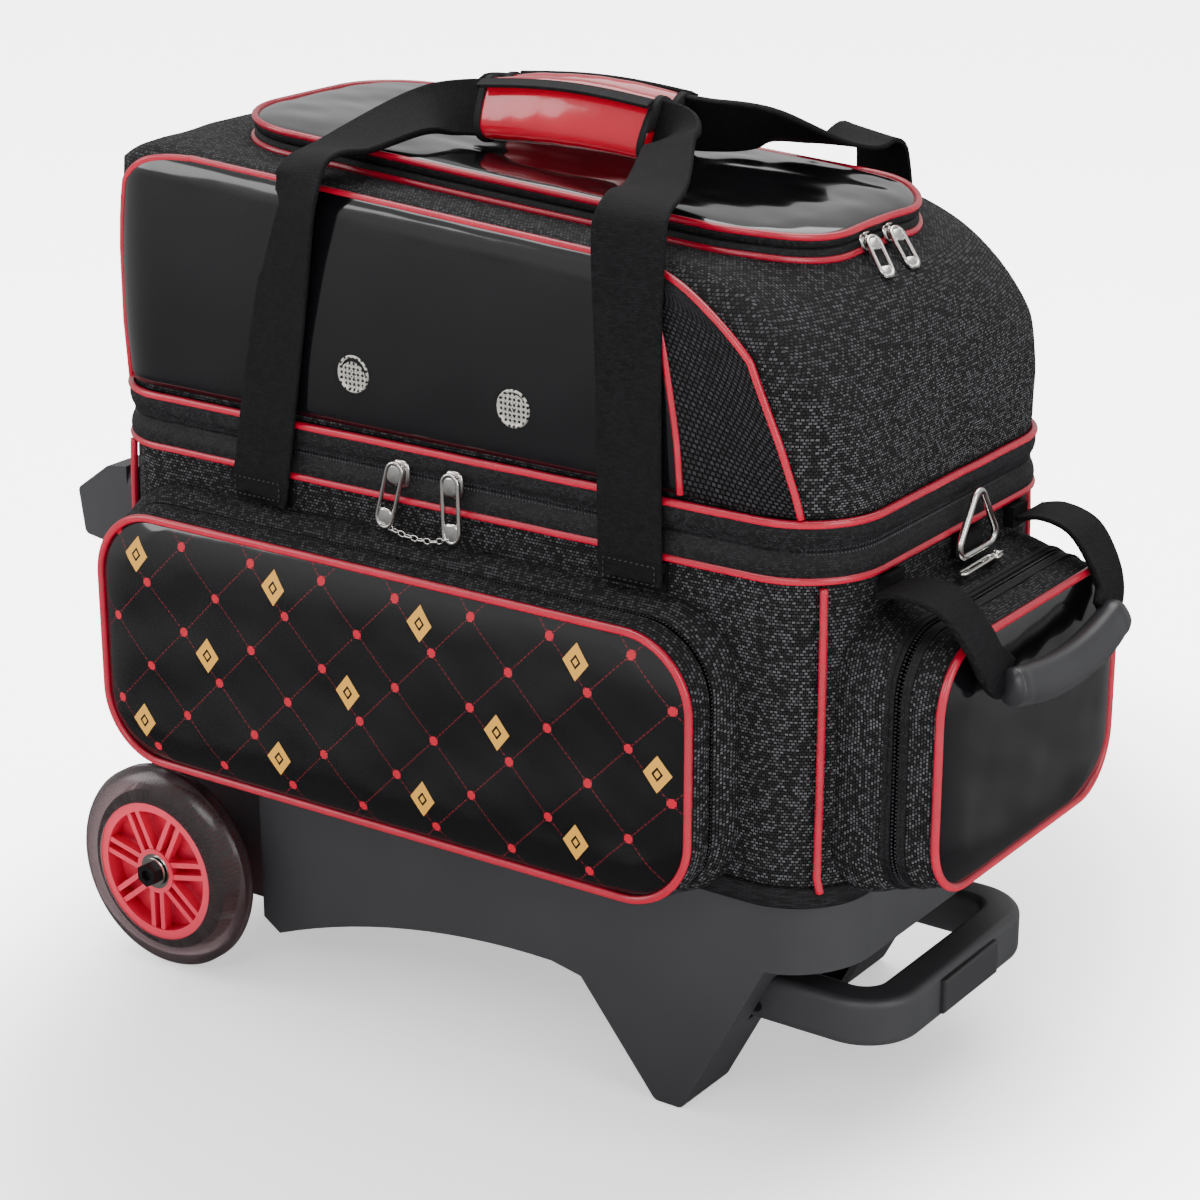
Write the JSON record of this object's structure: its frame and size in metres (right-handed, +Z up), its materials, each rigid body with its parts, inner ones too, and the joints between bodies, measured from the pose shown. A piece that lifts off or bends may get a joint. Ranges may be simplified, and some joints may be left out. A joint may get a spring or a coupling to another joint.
{
  "type": "bowling ball bag",
  "caption": "Wheeled bowling bag with ball tub, zipped lid with shoe compartment, pockets, carry handles and a telescoping pull handle.",
  "frame": {"origin": "middle of the bag's footprint on the floor", "axes": "+X towards the pull-handle end, +Y to the back, +Z up"},
  "size_m": [0.6156, 0.3102, 0.536],
  "materials": {
    "moulded_plastic": "fine moulded texture, satin",
    "steel_tube": "drawn tube",
    "black_steel": "black oxide",
    "nickel": "bright nickel plate",
    "woven_fabric": "dark woven polyester with pale flecks",
    "board": "stiffener board",
    "lining": "plain lining",
    "foam": "closed-cell foam",
    "binding": "grosgrain binding",
    "zip_tape": "zip tape with coil teeth",
    "red_piping": "red piping cord, glossy",
    "patent_vinyl": "black patent vinyl",
    "printed_vinyl": "black patent vinyl with a printed lattice",
    "red_vinyl": "red patent vinyl wrap",
    "mesh": "black spacer mesh",
    "webbing": "black polypropylene webbing",
    "grip_rubber": "moulded grip",
    "smoke_urethane": "smoky translucent urethane",
    "red_nylon": "moulded red nylon",
    "button_plastic": "smooth moulded"
  },
  "bodies": {
    "root": {"base_tray": "moulded_plastic", "sleeve_brackets": "moulded_plastic", "handle_sleeves": "steel_tube", "axle_bolts": "black_steel", "axle_spacers": "nickel", "end_plate": "moulded_plastic", "end_bumpers": "moulded_plastic", "bag_tub": "woven_fabric", "base_board": "board", "ball_cup_left": "foam", "ball_cup_right": "foam", "ball_divider": "lining", "bottom_binding": "binding", "lower_zip_tape": "zip_tape", "body_piping": "red_piping", "front_pocket_gusset": "woven_fabric", "end_pocket_gusset": "woven_fabric", "strap_anchors": "webbing", "zip_sliders": "nickel", "ring_tab": "webbing"},
    "wheel_front": {"tyre_front": "smoke_urethane", "wheel_hub_front": "red_nylon", "wheel_bearings_front": "nickel"},
    "wheel_back": {"tyre_back": "smoke_urethane", "wheel_hub_back": "red_nylon", "wheel_bearings_back": "nickel"},
    "handle_stage": {"mid_tubes": "steel_tube"},
    "pull_handle": {"inner_tubes": "steel_tube", "pull_bar": "moulded_plastic", "pull_bar_cover": "moulded_plastic", "pull_bar_screws": "black_steel", "button_springs": "steel_tube"},
    "release_button": {"release_button": "button_plastic", "release_yoke": "steel_tube"},
    "lid": {"upper_zip_tape": "zip_tape", "upper_piping": "red_piping", "lid_shell": "woven_fabric", "shoe_floor": "lining", "lid_panels": "patent_vinyl", "lid_mesh_panels": "mesh", "shoe_zip_tape": "zip_tape", "vents": "nickel", "back_straps": "webbing", "shoe_sliders": "nickel"},
    "shoe_flap": {"shoe_flap": "patent_vinyl"},
    "shoe_pulls": {"shoe_pulls": "nickel"},
    "front_handle": {"front_straps": "webbing"},
    "front_loop": {"front_grip": "red_vinyl"},
    "back_loop": {"back_grip": "red_vinyl"},
    "front_pocket": {"front_pocket_cover": "woven_fabric", "front_pocket_panel": "printed_vinyl", "front_pocket_piping": "red_piping"},
    "end_pocket": {"end_pocket_cover": "woven_fabric", "end_pocket_panel": "patent_vinyl", "end_pocket_piping": "red_piping"},
    "grab_handle": {"grab_straps": "webbing", "grab_grip": "grip_rubber"},
    "main_pulls": {"main_pulls": "nickel"},
    "pocket_pull": {"pocket_pull": "nickel"},
    "ring": {"triangle_ring": "nickel"}
  },
  "joints": [
    {"name": "wheel_front_spin", "type": "hinge", "parent": "root", "child": "wheel_front", "pos_m": [-0.22315, -0.1309, 0.0635], "axis": [0, 1, 0], "continuous": true},
    {"name": "wheel_back_spin", "type": "hinge", "parent": "root", "child": "wheel_back", "pos_m": [-0.22315, 0.1351, 0.0635], "axis": [0, 1, 0], "continuous": true},
    {"name": "handle_stage_slide", "type": "slide", "parent": "root", "child": "handle_stage", "axis": [1, 0, 0], "range_m": [0, 0.3]},
    {"name": "pull_handle_slide", "type": "slide", "parent": "handle_stage", "child": "pull_handle", "axis": [1, 0, 0], "range_m": [0, 0.3]},
    {"name": "release_button_press", "type": "slide", "parent": "pull_handle", "child": "release_button", "axis": [-1, 0, 0], "range_m": [0, 0.004], "stiffness_N_per_m": 1500, "springref_m": -0.002, "deforming": ["button_springs"]},
    {"name": "lid_open", "type": "hinge", "parent": "root", "child": "lid", "pos_m": [-0.01915, 0.1301, 0.34], "axis": [-1, 0, 0], "range_deg": [0, 85], "deforming": ["front_straps", "back_straps"]},
    {"name": "front_handle_swing", "type": "hinge", "parent": "root", "child": "front_handle", "pos_m": [-0.01915, -0.12735, 0.322], "axis": [1, 0, 0], "range_deg": [0, 130]},
    {"name": "shoe_flap_open", "type": "hinge", "parent": "lid", "child": "shoe_flap", "pos_m": [-0.2034, 0.0021, 0.50355], "axis": [0, -1, 0], "range_deg": [0, 100], "deforming": ["front_grip", "back_grip"]},
    {"name": "front_loop_fold", "type": "hinge", "parent": "front_handle", "child": "front_loop", "pos_m": [-0.01915, -0.12735, 0.49], "axis": [1, 0, 0], "range_deg": [0, 105]},
    {"name": "back_loop_fold", "type": "hinge", "parent": "lid", "child": "back_loop", "pos_m": [-0.01915, 0.13155, 0.49], "axis": [-1, 0, 0], "range_deg": [0, 105]},
    {"name": "front_pocket_open", "type": "hinge", "parent": "root", "child": "front_pocket", "pos_m": [-0.01915, -0.13712, 0.1417], "axis": [1, 0, 0], "range_deg": [0, 55]},
    {"name": "end_pocket_open", "type": "hinge", "parent": "root", "child": "end_pocket", "pos_m": [0.25335, 0.0021, 0.1519], "axis": [0, 1, 0], "range_deg": [0, 30]},
    {"name": "grab_handle_lift", "type": "hinge", "parent": "root", "child": "grab_handle", "pos_m": [0.23285, 0.0021, 0.3162], "axis": [0, -1, 0], "range_deg": [0, 90]},
    {"name": "main_pulls_swing", "type": "hinge", "parent": "root", "child": "main_pulls", "pos_m": [-0.01915, -0.1273, 0.3485], "axis": [-1, 0, 0], "range_deg": [0, 100]},
    {"name": "shoe_pulls_swing", "type": "hinge", "parent": "lid", "child": "shoe_pulls", "pos_m": [0.18095, 0.0021, 0.47941], "axis": [0, -1, 0], "range_deg": [0, 60]},
    {"name": "pocket_pull_swing", "type": "hinge", "parent": "root", "child": "pocket_pull", "pos_m": [-0.01915, 0.0221, 0.304], "axis": [-1, 0, 0], "range_deg": [0, 80]},
    {"name": "ring_swing", "type": "hinge", "parent": "root", "child": "ring", "pos_m": [0.23585, 0.0021, 0.311], "axis": [0, 1, 0], "range_deg": [0, 80]}
  ],
  "couplings": [
    {"joint": "pull_handle_slide", "follows": "handle_stage_slide", "ratio": 1},
    {"joint": "front_handle_swing", "follows": "lid_open", "ratio": 1.5293},
    {"joint": "front_loop_fold", "follows": "shoe_flap_open", "ratio": 1.05},
    {"joint": "back_loop_fold", "follows": "shoe_flap_open", "ratio": 1.05},
    {"joint": "grab_handle_lift", "follows": "end_pocket_open", "ratio": 3}
  ]
}
